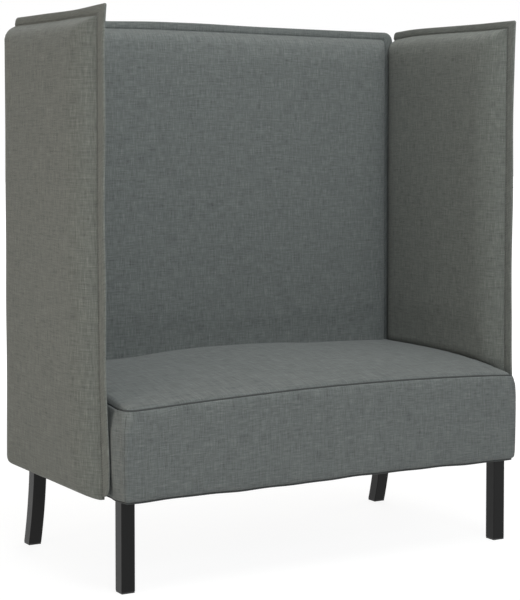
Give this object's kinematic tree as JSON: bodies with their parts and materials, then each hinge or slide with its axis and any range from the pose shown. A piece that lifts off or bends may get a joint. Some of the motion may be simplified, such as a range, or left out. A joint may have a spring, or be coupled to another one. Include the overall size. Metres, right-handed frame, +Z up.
{
  "type": "high-back sofa",
  "caption": "Upholstered high-back sofa with tall padded side wings and back, flanged panel edges, crowned seat box and square black legs, the rear ones swept back.",
  "frame": {"origin": "on the floor, below the middle of the overall width and depth", "axes": "+X to the sitter's left, -Y the way the sofa faces, +Z up"},
  "size_m": [1.224, 0.615, 1.33],
  "materials": {
    "upholstery": "heathered grey-green woven wool",
    "foam": "open-cell foam",
    "dust_cloth": "black non-woven cloth",
    "webbing": "black elastic webbing",
    "frame_wood": "planed, unfinished",
    "panel_board": "smooth fibreboard",
    "leg_black": "satin black lacquer",
    "pale_plastic": "matt",
    "dark_plastic": "matt",
    "zinc_steel": "zinc plated",
    "black_steel": "black powder coat"
  },
  "bodies": {
    "root": {"back_bottom_rail": "frame_wood", "back_front_board": "panel_board", "back_front_cover": "upholstery", "back_front_foam": "foam", "back_left_stile": "frame_wood", "back_middle_rail": "frame_wood", "back_rear_board": "panel_board", "back_rear_cover": "upholstery", "back_rear_foam": "foam", "back_right_stile": "frame_wood", "back_top_rail": "frame_wood", "bolt_washers": "zinc_steel", "bracket_screws": "zinc_steel", "corner_brackets": "black_steel", "front_left_leg": "leg_black", "front_right_leg": "leg_black", "left_wing_bottom_rail": "frame_wood", "left_wing_front_stile": "frame_wood", "left_wing_inner_board": "panel_board", "left_wing_inner_cover": "upholstery", "left_wing_inner_foam": "foam", "left_wing_middle_rail": "frame_wood", "left_wing_outer_board": "panel_board", "left_wing_outer_cover": "upholstery", "left_wing_outer_foam": "foam", "left_wing_rear_stile": "frame_wood", "left_wing_top_rail": "frame_wood", "leg_glides": "dark_plastic", "leg_inserts": "zinc_steel", "leg_spacers": "pale_plastic", "leg_studs": "zinc_steel", "panel_bolts": "zinc_steel", "rear_left_leg": "leg_black", "rear_right_leg": "leg_black", "right_wing_bottom_rail": "frame_wood", "right_wing_front_stile": "frame_wood", "right_wing_inner_board": "panel_board", "right_wing_inner_cover": "upholstery", "right_wing_inner_foam": "foam", "right_wing_middle_rail": "frame_wood", "right_wing_outer_board": "panel_board", "right_wing_outer_cover": "upholstery", "right_wing_outer_foam": "foam", "right_wing_rear_stile": "frame_wood", "right_wing_top_rail": "frame_wood", "seat_boxing_cover": "upholstery", "seat_corner_blocks": "frame_wood", "seat_dust_cover": "dust_cloth", "seat_foam": "foam", "seat_front_rail": "frame_wood", "seat_left_rail": "frame_wood", "seat_rear_rail": "frame_wood", "seat_right_rail": "frame_wood", "seat_straps_crosswise": "webbing", "seat_straps_lengthwise": "webbing", "seat_stretchers": "frame_wood", "seat_top_cover": "upholstery", "spacer_bushes": "dark_plastic", "tee_nuts": "zinc_steel"}
  },
  "joints": []
}
